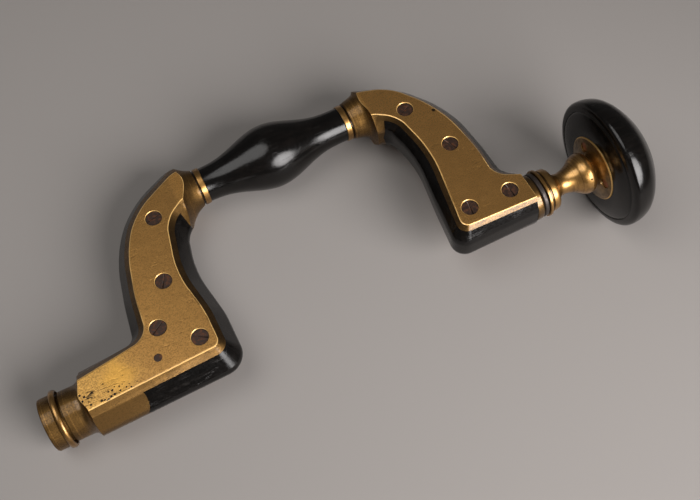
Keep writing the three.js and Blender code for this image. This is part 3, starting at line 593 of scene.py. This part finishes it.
# The chuck: what the lathe takes off it as (x, radius), the square socket as (from, to, width, width),
# and the catch's room as (x, y)
LATHE_REACH = 36
NOSE_TURNING = (
    (-1, 0), (-1, LATHE_REACH), (17, LATHE_REACH), (17, 13.7), (11.3, 13.7), (10.9, 13.4), (10.9, 12.2), (6.6, 12.2),
    (6.6, 14.2), (6.35, 14.4), (1.0, 14.4), (0.3, 14.05), (0, 13.4), (0, 0))
SOCKET = ((-0.8, 0.8, 14.0, 12.4), (0.0, 36.0, 12.4, 10.8))
CATCH_ROOM = (
    (6.6, 10.1), (19.7, 10.1), (19.7, 0), (24.5, 0), (24.5, 10.1), (43.8, 10.1), (60.3, 1.1), (60.9, -3.5),
    (65.2, -7.9), (76.8, -7.9), (76.8, 4.5), (70.8, 6.0), (50.0, 15.3), (47.2, 47.2), (6.6, 47.2))
CATCH_ROOM_HALF = 2.8

# Where brass fills the arms from side to side
CONE_BLOCK = 15.4
LOWER_BLOCK_HOLLOW = 3.0
UPPER_BLOCK_HOLLOW = 2.4
TONGUE_END = 51.9
TONGUE_RADIUS = 15.0
TONGUE_LOBE = 8.3
INFILL_GAP = 0.08

# The collar at the head's end, and a screw's seat with its flared rim as (radius, z)
COLLAR_START = 283.5
COLLAR = (
    (COLLAR_START, 0), (COLLAR_START, 12.9), (283.8, 13.2), (286.7, 13.2), (287.5, 12.9), (287.9, 12.3), (287.9, 0))
SCREW_SEAT = ((0, 11.0), (4.75, 11.0), (4.75, 14.2), (5.2, 14.62), (5.2, 15.5), (0, 15.5))


def table_corners(shares, start_x, run_x):
    return [Vector((start_x + x * run_x, y * THROW, 0)) for x, y, _ in shares]


def turn_segments(shares, start_x, run_x):
    """More steps where a corner turns further."""
    corners = [corner.to_2d() for corner in table_corners(shares, start_x, run_x)]
    segments = []
    for k, corner in enumerate(corners):
        inward = corner - corners[k - 1]
        outward = corners[(k + 1) % len(corners)] - corner
        segments.append(max(4, round(abs(inward.angle_signed(outward)) / math.radians(5))))
    return segments


def arm_line(shares, segments, start_x, run_x):
    """An arm's outline: the corners of its table, each rounded, from its first sharp corner on."""
    corners = table_corners(shares, start_x, run_x)
    bm = bmesh.new()
    verts = [bm.verts.new(corner) for corner in corners]
    bm.faces.new(verts)
    for k, vert in enumerate(verts):
        radius = shares[k][2] * THROW
        if not radius:
            continue
        to_before = corners[k - 1] - corners[k]
        to_after = corners[(k + 1) % len(corners)] - corners[k]
        half = to_before.angle(to_after) / 2
        if half > GENTLE_HALF_ANGLE:
            radius *= GENTLE_EASE
        setback = min(radius / math.tan(half), 0.48 * min(to_before.length, to_after.length))
        bmesh.ops.bevel(bm, geom=[vert], offset=setback, offset_type="OFFSET", segments=segments[k], profile=0.5,
                        affect="VERTICES", material=-1, clamp_overlap=False)
    bm.faces.ensure_lookup_table()
    line = [vert.co.copy() for vert in bm.faces[0].verts]
    bm.free()
    sharp = corners[1 if shares[0][2] else 0]
    first = min(range(len(line)), key=lambda k: (line[k] - sharp).length)
    return line[first:] + line[:first]


def arm_body(face_shares, side_shares, band, ease, start_x, run_x):
    """An arm: cheek, wide bevel, steeper flank, upright band, and the same again."""
    segments = turn_segments(face_shares, start_x, run_x)
    face_line = arm_line(face_shares, segments, start_x, run_x)
    side_line = arm_line(side_shares, segments, start_x, run_x)
    bevel_line = [near.lerp(far, BEVEL_SHARE) for near, far in zip(face_line, side_line)]
    levels = ((bevel_line, -INFILL), (side_line, -band), (side_line, band), (bevel_line, INFILL), (face_line, HALF))
    bm = bmesh.new()
    level = bm.faces.new([bm.verts.new(at(point.x, point.y, -HALF)) for point in face_line])
    rims = [list(level.edges)]
    for line, height in levels:
        below, kept = level, len(rims) == 1
        grown = bmesh.ops.extrude_face_region(bm, geom=[below], use_keep_orig=kept)
        level = next(part for part in grown["geom"] if isinstance(part, bmesh.types.BMFace))
        if below.is_valid and not kept:
            bm.faces.remove(below)
        for vert, point in zip(level.verts, line):
            vert.co = at(point.x, point.y, height)
        rims.append(list(level.edges))
    for edges, width in ((rims[0] + rims[5], ARRIS_EASE), (rims[2] + rims[3], ease)):
        bmesh.ops.bevel(bm, geom=edges, offset=width / 1000, offset_type="OFFSET", segments=3, profile=0.5,
                        affect="EDGES", material=-1, clamp_overlap=False)
    return bm


def shoulder(free_x, flare_x, radius, flare, side, y, lean=0.0, free_radius=None):
    """What the lathe takes away beside a shank: a straight, then a flare up to a square shoulder."""
    start = free_x - side
    free_radius = free_radius or radius
    line = [(start, LATHE_REACH), (start, free_radius), (free_x, free_radius)]
    for k in range(19):
        angle = lean + k / 18 * (math.pi / 2 - lean)
        end = flare_x + side * flare * (math.sin(angle) - math.sin(lean))
        line.append((end, radius + flare * (math.cos(lean) - math.cos(angle))))
    return put("shoulder", spun(line + [(end, LATHE_REACH), (start, LATHE_REACH)], y))


def bar(start, end, radius, y=0.0):
    """A round bar along x, to cut with or to add."""
    return put("bar", spun([(start, 0), (start, radius), (end, radius), (end, 0)], y))


def socket_hole():
    """The square hole for a bit's shank, which narrows inwards, and its flared mouth."""
    pieces = []
    for low, high, near, far in SOCKET:
        middle = Matrix.Translation(at((low + high) / 2, 0))
        lying = middle @ Matrix.Rotation(math.pi / 2, 4, "Y") @ Matrix.Rotation(math.pi / 4, 4, "Z")
        pieces.append(put("socket_hole", taper(near / math.sqrt(2), far / math.sqrt(2), high - low, lying, 4)))
    return pieces


def window(line):
    """An outline in x and z, cut right through along y."""
    return put("window", drawn_out([at(x, -90, z) for x, z in line], (0, 0.3, 0)))


def lower_window(gap):
    """The room for the infill, with the brass tongue's two lobes at one end and a hollow block at the other."""
    half, far = INFILL - gap, LOWER_END - CONE_BLOCK - gap
    line = [(far, half)]
    for k in range(25):
        z = half * (1 - k / 12)
        lobe = math.sqrt(TONGUE_RADIUS ** 2 - (abs(z) - TONGUE_LOBE) ** 2)
        line.append((TONGUE_END + gap - TONGUE_RADIUS + lobe, z))
    return window(line + [(far, -half), (far + LOWER_BLOCK_HOLLOW, 0)])


def upper_windows(gap):
    """The room for the infill with a hollow block at one end, and the room below that end's cone."""
    half, near = INFILL - gap, UPPER_START + CONE_BLOCK + gap
    far = COLLAR_START - gap if gap else UPPER_END + 1
    outline = [(near, -half), (near - UPPER_BLOCK_HOLLOW, 0), (near, half), (far, half), (far, -half)]
    low = bmesh.new()
    bmesh.ops.create_cube(low, size=1.0)
    bmesh.ops.scale(low, verts=low.verts, vec=((far - UPPER_START) / 1000, 0.14, 2 * half / 1000))
    bmesh.ops.translate(low, verts=low.verts, vec=at((far + UPPER_START) / 2, -20 - gap))
    return [window(outline), put("low_window", low)]


def screw_places(shares, start_x, run_x):
    return [(start_x + x * run_x, y * THROW) for x, y in shares]


LOWER_PLACES = screw_places(LOWER_SCREWS, 0, LOWER_END)
UPPER_PLACES = screw_places(UPPER_SCREWS, UPPER_END, UPPER_START - UPPER_END)


def screw_seats(places):
    return [put("seat", upright(x, y, [(radius, side * z) for radius, z in SCREW_SEAT]))
            for x, y in places for side in (1, -1)]


def catch_room():
    line = [at(x, y, -CATCH_ROOM_HALF) for x, y in CATCH_ROOM]
    return put("catch_room", drawn_out(line, (0, 0, 2 * CATCH_ROOM_HALF / 1000)))


def twin(piece, name, look):
    """A second piece of the same form in another finish."""
    copy = piece.copy()
    copy.data = piece.data.copy()
    copy.name = copy.data.name = name
    bpy.context.scene.collection.objects.link(copy)
    copy.data.materials.clear()
    copy.data.materials.append(look)
    return copy


def make_lower_arm():
    body = arm_body(LOWER_FACE, LOWER_SIDE, LOWER_BAND, 1.4, 0, LOWER_END)
    brass = put("lower_cheeks", body, CHEEK_BRASS)
    ebony = twin(brass, "lower_ebony", ARM_EBONY)
    room, pin_hole = catch_room(), put("pin_hole", pole(*PIVOT, -16, 16, 2.3))
    rod_hole, spigot = bar(112, 124, 4.8, THROW), bar(121, 123.6, 10.0, THROW)
    outside = [
        put("nose_turning", spun(NOSE_TURNING)),
        shoulder(free_x=16, flare_x=18.9, radius=13.7, flare=4.9, side=1, y=0),
        shoulder(free_x=LOWER_END, flare_x=LOWER_END - 0.4, radius=11.1, flare=20.5, side=-1, y=THROW, lean=0.34),
    ]
    hole = socket_hole()
    seats = screw_seats(LOWER_PLACES)
    open_window, closed_window = lower_window(0), lower_window(INFILL_GAP)
    carve(brass, [open_window, *outside])
    carve(brass, [spigot], "UNION")
    carve(brass, [*hole, room, pin_hole, rod_hole, *seats])
    carve(ebony, [closed_window], "INTERSECT")
    carve(ebony, [room, pin_hole])
    discard([room, pin_hole, rod_hole, spigot, *outside, *hole, *seats, open_window, closed_window])
    soften(brass, 0)
    soften(ebony, 0)
    stand_in(brass, "frame", "cheek_brass", "lower_frame")
    stand_in(ebony, "frame", "ebony", "lower_infill")


def make_upper_arm():
    body = arm_body(UPPER_FACE, UPPER_SIDE, UPPER_BAND, 2.2, UPPER_END, UPPER_START - UPPER_END)
    brass = put("upper_cheeks", body, CHEEK_BRASS)
    ebony = twin(brass, "upper_ebony", ARM_EBONY)
    rod_hole, spigot = bar(219, 231.1, 4.8, THROW), bar(219.5, 222, 10.0, THROW)
    cone = shoulder(free_x=UPPER_START, flare_x=UPPER_START + 6.7, radius=12.9, flare=4.7, side=1, y=THROW,
                    lean=0.263, free_radius=11.1)
    collar = put("collar", spun(COLLAR))
    boss, boss_room = bar(258, 284.5, 9.5), bar(257.7, 285, 9.8)
    spindle_hole = bar(276.6, 291, 4.3)
    seats = screw_seats(UPPER_PLACES)
    open_windows, closed_windows = upper_windows(0), upper_windows(INFILL_GAP)
    carve(closed_windows[0], closed_windows[1:], "UNION")
    carve(brass, [*open_windows, cone])
    carve(brass, [boss, collar, spigot], "UNION")
    carve(brass, [spindle_hole, rod_hole, *seats])
    carve(ebony, closed_windows[:1], "INTERSECT")
    carve(ebony, [boss_room])
    discard([rod_hole, cone, spigot, collar, boss, boss_room, spindle_hole, *seats, *open_windows, *closed_windows])
    soften(brass, 0)
    soften(ebony, 0)
    stand_in(brass, "frame", "cheek_brass", "upper_frame")
    stand_in(ebony, "frame", "ebony", "upper_infill")


# Screws and pins
SCREW_TOP_RADIUS = 4.58
SCREW_LOW_RADIUS = 4.0
SCREW_DEPTH = 3
SCREW_SINK = 0.35
SLOT_HALF = 0.00055
SLOT_DEPTH = 0.0011
SLOT_TURNS = (0.08, 0.36, 0.2, 0.84, 0.17, 0.62, 0.48, 0.53)


def cheek_screw(name, x, y, turn, side):
    """A slotted countersunk head, a little below the cheek. Its top face stays over the slot's lowered floor."""
    below_top = Matrix.Translation((0, 0, -SCREW_DEPTH / 2000))
    bm = taper(SCREW_LOW_RADIUS, SCREW_TOP_RADIUS, SCREW_DEPTH, below_top, 36)
    for offset in (-SLOT_HALF, SLOT_HALF):
        everything = bm.verts[:] + bm.edges[:] + bm.faces[:]
        bmesh.ops.bisect_plane(bm, geom=everything, plane_co=(0, offset, 0), plane_no=(0, 1, 0))
    slot = []
    for face in bm.faces:
        middle = face.calc_center_median()
        if abs(face.normal.z) > 0.9 and middle.z > -0.0002 and abs(middle.y) < 0.0005:
            slot.append(face)
    lowered = bmesh.ops.extrude_face_region(bm, geom=slot)
    bmesh.ops.translate(bm, verts=new_verts(lowered), vec=(0, 0, -SLOT_DEPTH))
    bmesh.ops.rotate(bm, verts=bm.verts, matrix=Matrix.Rotation(turn * math.pi, 3, "Z"))
    if side < 0:
        bmesh.ops.rotate(bm, verts=bm.verts, matrix=Matrix.Rotation(math.pi, 3, "X"))
    bmesh.ops.translate(bm, verts=bm.verts, vec=at(x, y, side * (HALF - SCREW_SINK)))
    piece = put(name + "_detail", bm, SCREW_STEEL)
    soften(piece, 0.12, eased_from=math.radians(30))
    stand_in(piece, "frame", "screw_steel", name)


def make_screws():
    for row, (arm, places) in enumerate((("lower", LOWER_PLACES), ("upper", UPPER_PLACES))):
        for k, (x, y) in enumerate(places):
            turn = SLOT_TURNS[4 * row + k]
            cheek_screw(f"{arm}_front_screw_{k + 1}", x, y, turn, 1)
            cheek_screw(f"{arm}_back_screw_{k + 1}", x, y, turn + 0.3, -1)


def make_catch_pin():
    piece = put("catch_pin_detail", pole(*PIVOT, -14.6, 14.6, 2.22), SCREW_STEEL)
    soften(piece, 0.25)
    stand_in(piece, "frame", "screw_steel", "catch_pin")


# Turned pieces, as lines of (x, radius)
RING_BEAD = ((6.75, 15.1), (7.05, 15.65), (7.65, 16.0), (8.35, 16.1), (9.05, 16.0), (9.65, 15.65), (9.95, 15.1))
RING_BORE = 14.7
GRIP_SWELL = (
    (127.4, 10.20), (130, 10.24), (133, 10.39), (136.5, 10.74), (140, 11.34), (144, 12.33), (148, 13.58),
    (152, 14.98), (156, 16.38), (160, 17.60), (164, 18.50), (167, 18.89), (169.6, 19.00), (172, 18.91),
    (175, 18.54), (179, 17.66), (183, 16.45), (187, 15.05), (191, 13.65), (195, 12.39), (199, 11.39),
    (203, 10.71), (207, 10.34), (211, 10.21), (213.5, 10.20), (215.7, 10.20))
FERRULE = ((0, 9.0), (0, 10.55), (0.3, 10.9), (3.1, 10.9), (3.4, 10.55), (3.4, 9.0))
FERRULE_STARTS = {"lower_ferrule": 123.9, "upper_ferrule": 215.8}
WASHER = [(288.2, 4.3), (288.2, 12.4), (288.7, 12.9), (290.4, 12.9), (290.9, 12.4), (290.9, 4.3)]
NECK_RINGS = [
    (291.2, 4.5), (291.2, 13.5), (291.5, 13.8), (292.7, 13.8), (293.0, 13.5), (293.0, 11.8), (294.6, 11.8),
    (294.6, 12.0), (294.9, 12.3), (296.6, 12.35), (298.2, 12.1), (298.9, 11.5)]
NECK_BELL = (
    (299.2, 10.6), (299.9, 8.6), (301.4, 7.4), (303, 6.7), (305, 6.35), (307, 6.55), (309.2, 7.15), (311.6, 8.1),
    (313.8, 9.4), (315.4, 10.6), (317, 11.4), (318.8, 11.95), (320.2, 12.05), (321.5, 11.7), (322.7, 10.9),
    (323.4, 9.8))
BELL_ROOM = [(323.4, 8.4), (316.2, 8.4), (316.2, 4.5)]
OIL_HOLE_PLACE = (319, 12)
OIL_HOLE_RADIUS = 0.55
OIL_HOLE_TURN = math.pi * 0.8
FLANGE_PLATE = [(323.7, 4.8), (323.7, 9.4), (324.5, 10.2), (326.45, 18.8), (326.8, 19.2), (327.5, 19.2), (327.5, 4.8)]
HEAD_ROOM = [(334.6, 0), (334.6, 5.4), (327.6, 5.4), (327.6, 19.5)]
HEAD_UNDERSIDE = ((327.1, 19.5), (327.3, 24.0), (328.1, 28.5), (329.0, 31.8), (329.6, 32.7))
HEAD_GROOVE = [(329.75, 33.0)]
HEAD_DOME = (
    (329.4, 33.4), (329.7, 35.2), (330.3, 36.7), (331.3, 37.6), (332.6, 38.0), (335.5, 37.95), (338.8, 37.2),
    (341.4, 36.0), (344.3, 33.6), (347.2, 30.0), (350.2, 25.4), (352.6, 20.0), (354.55, 14.0), (355.6, 8.0),
    (356, 0.0))
FLANGE_SCREW_CIRCLE = 13.6
FLANGE_ANGLES = [math.pi * 0.935 + k * math.tau / 3 for k in range(3)]


def turned_piece(name, line, y, look, ease, body, finish, *nodes):
    piece = put(name, spun(line, y), look)
    soften(piece, ease)
    stand_in(piece, body, finish, *nodes)


def make_ring():
    bead = smooth_line(RING_BEAD, 3)
    line = closed([(bead[0][0], RING_BORE)] + bead + [(bead[-1][0], RING_BORE)])
    turned_piece("ring_detail", line, 0, TURNED_BRASS, 0, "release_ring_body", "turned_brass", "release_ring")


def make_grip():
    ends = [(123.9, 4.8), (123.9, 8.9), (127.4, 8.9)], [(215.7, 8.9), (219.2, 8.9), (219.2, 4.8)]
    line = closed(ends[0] + smooth_line(GRIP_SWELL, 4) + ends[1])
    turned_piece("grip_detail", line, THROW, TURNED_EBONY, 0, "grip_body", "ebony", "grip")
    for name, start in FERRULE_STARTS.items():
        rounds = closed([(start + x, radius) for x, radius in FERRULE])
        turned_piece(name + "_detail", rounds, THROW, TURNED_BRASS, 0.12, "grip_body", "turned_brass", name)


def make_neck():
    turned_piece("washer_detail", closed(WASHER), 0, WASHER_STEEL, 0.15, "frame", "screw_steel", "thrust_washer")
    line = closed(NECK_RINGS + smooth_line(NECK_BELL, 3) + BELL_ROOM)
    piece = put("neck_detail", spun(line), TURNED_BRASS)
    crosswise = Matrix.Translation(at(*OIL_HOLE_PLACE)) @ Matrix.Rotation(math.pi / 2, 4, "X")
    drill = taper(OIL_HOLE_RADIUS, OIL_HOLE_RADIUS, 6, crosswise, 16)
    bmesh.ops.rotate(drill, verts=drill.verts, cent=at(0, 0), matrix=Matrix.Rotation(OIL_HOLE_TURN, 3, "X"))
    oil_hole = put("oil_hole", drill)
    carve(piece, [oil_hole])
    discard([oil_hole])
    soften(piece, 0)
    stand_in(piece, "head_body", "turned_brass", "neck")


def flange_screw_form(near, far, near_radius, far_radius, angle):
    """A short round form along x at one of the flange screws' places."""
    place = Matrix.Translation(at((near + far) / 2, FLANGE_SCREW_CIRCLE)) @ Matrix.Rotation(-math.pi / 2, 4, "Y")
    bm = taper(far_radius, near_radius, far - near, place, 28)
    bmesh.ops.rotate(bm, verts=bm.verts, cent=at(0, 0), matrix=Matrix.Rotation(angle, 3, "X"))
    return bm


def make_head():
    flange = put("flange_detail", spun(closed(FLANGE_PLATE)), SHADED_FLANGE_BRASS)
    holes = [put("screw_hole", flange_screw_form(322.0, 326.2, 3.0, 3.0, angle)) for angle in FLANGE_ANGLES]
    carve(flange, holes)
    discard(holes)
    soften(flange, 0.12)
    stand_in(flange, "head_body", "turned_brass", "head_flange")
    line = HEAD_ROOM + smooth_line(HEAD_UNDERSIDE, 4) + HEAD_GROOVE + smooth_line(HEAD_DOME, 4)
    turned_piece("head_detail", line, 0, TURNED_EBONY, 0, "head_body", "ebony", "head")
    for k, angle in enumerate(FLANGE_ANGLES):
        form = flange_screw_form(326.0, 327.9, 2.75, 2.3, angle)
        piece = put(f"flange_screw_detail_{k + 1}", form, SCREW_STEEL)
        soften(piece, 0.3)
        stand_in(piece, "head_body", "screw_steel", f"flange_screw_{k + 1}")


INNER_NODES = ("grip_rod", "head_spindle", "spindle_washer", "spindle_nut", "catch_lever", "catch_spring", "ring_pin")


def finish_inner_nodes():
    """Plain steel on the CAD nodes that stay as they are."""
    for name in INNER_NODES:
        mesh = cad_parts[name].data
        mesh.materials.clear()
        mesh.materials.append(PLAIN_STEEL)


# Camera, floor and light
def make_camera():
    """The camera that was solved from the photographed circles and corners."""
    azimuth, elevation, roll = 0.32399, 1.04345, -0.15489
    place = at(94.085, -244.532, 476.533)
    level = math.cos(elevation)
    ahead = Vector((level * math.sin(azimuth), level * math.cos(azimuth), -math.sin(elevation)))
    right = ahead.cross(Vector((0, 0, 1))).normalized()
    up = right.cross(ahead)
    right, up = math.cos(roll) * right + math.sin(roll) * up, -math.sin(roll) * right + math.cos(roll) * up
    data = bpy.data.cameras.new("camera")
    data.sensor_width = 36.0
    focal_pixels, picture_pixels = 1000, 700
    data.lens = data.sensor_width * focal_pixels / picture_pixels
    data.clip_start, data.clip_end = 0.01, 20.0
    camera = bpy.data.objects.new("camera", data)
    bpy.context.scene.collection.objects.link(camera)
    camera.matrix_world = Matrix.Translation(place) @ Matrix((right, up, -ahead)).transposed().to_4x4()
    bpy.context.scene.camera = camera


def make_floor():
    """Flat under the three places where the brace rests: head rim, lower arm's bend and chuck ring."""
    bm = bmesh.new()
    bmesh.ops.create_grid(bm, x_segments=1, y_segments=1, size=4.0)
    head, bend, ring = at(332.6, 2.48, -37.95), at(89.18, 90.06, -14.53), at(8.11, 1.05, -16.09)
    up = (ring - head).cross(bend - head).normalized()
    up = up if up.z > 0 else -up
    bmesh.ops.rotate(bm, verts=bm.verts, matrix=Vector((0, 0, 1)).rotation_difference(up).to_matrix())
    bmesh.ops.translate(bm, verts=bm.verts, vec=head)
    look, tree, surface, _ = new_look("floor", 0.0, 0.2)
    feed(tree, surface["Base Color"], (0.24, 0.225, 0.214))
    feed(tree, surface["Roughness"], 0.75)
    put("floor", bm, look)


def make_light(name, direction, distance, size, brightness, colour, spread=math.pi):
    """A soft lamp aimed at the middle of the brace."""
    target = at(178, 39, 0)
    data = bpy.data.lights.new(name, "AREA")
    data.shape = "ELLIPSE"
    data.size, data.size_y = size
    data.energy = brightness * math.pi * size[0] * size[1] * math.pi / 4
    data.color = colour
    data.spread = spread
    lamp = bpy.data.objects.new(name, data)
    bpy.context.scene.collection.objects.link(lamp)
    lamp.location = target + Vector(direction).normalized() * distance
    lamp.rotation_euler = (target - lamp.location).to_track_quat("-Z", "Y").to_euler()


def make_world():
    world = bpy.data.worlds.new("studio")
    world.use_nodes = True
    background = world.node_tree.nodes["Background"].inputs
    background["Color"].default_value = (0.52, 0.50, 0.49, 1.0)
    background["Strength"].default_value = 0.17
    bpy.context.scene.world = world
    bpy.context.scene.view_settings.view_transform = "Standard"


make_camera()
make_floor()
make_world()
make_light("overhead", (-0.38, 0.02, 0.92), distance=1.3, size=(1.07, 1.07), brightness=3.0,
           colour=(1.0, 0.98, 0.96))
make_light("front", (0.34, -0.85, 0.41), distance=0.9, size=(0.76, 0.70), brightness=4.4,
           colour=(1.0, 0.97, 0.96), spread=math.radians(100))

make_lower_arm()
make_upper_arm()
make_screws()
make_catch_pin()
make_ring()
make_grip()
make_neck()
make_head()
finish_inner_nodes()
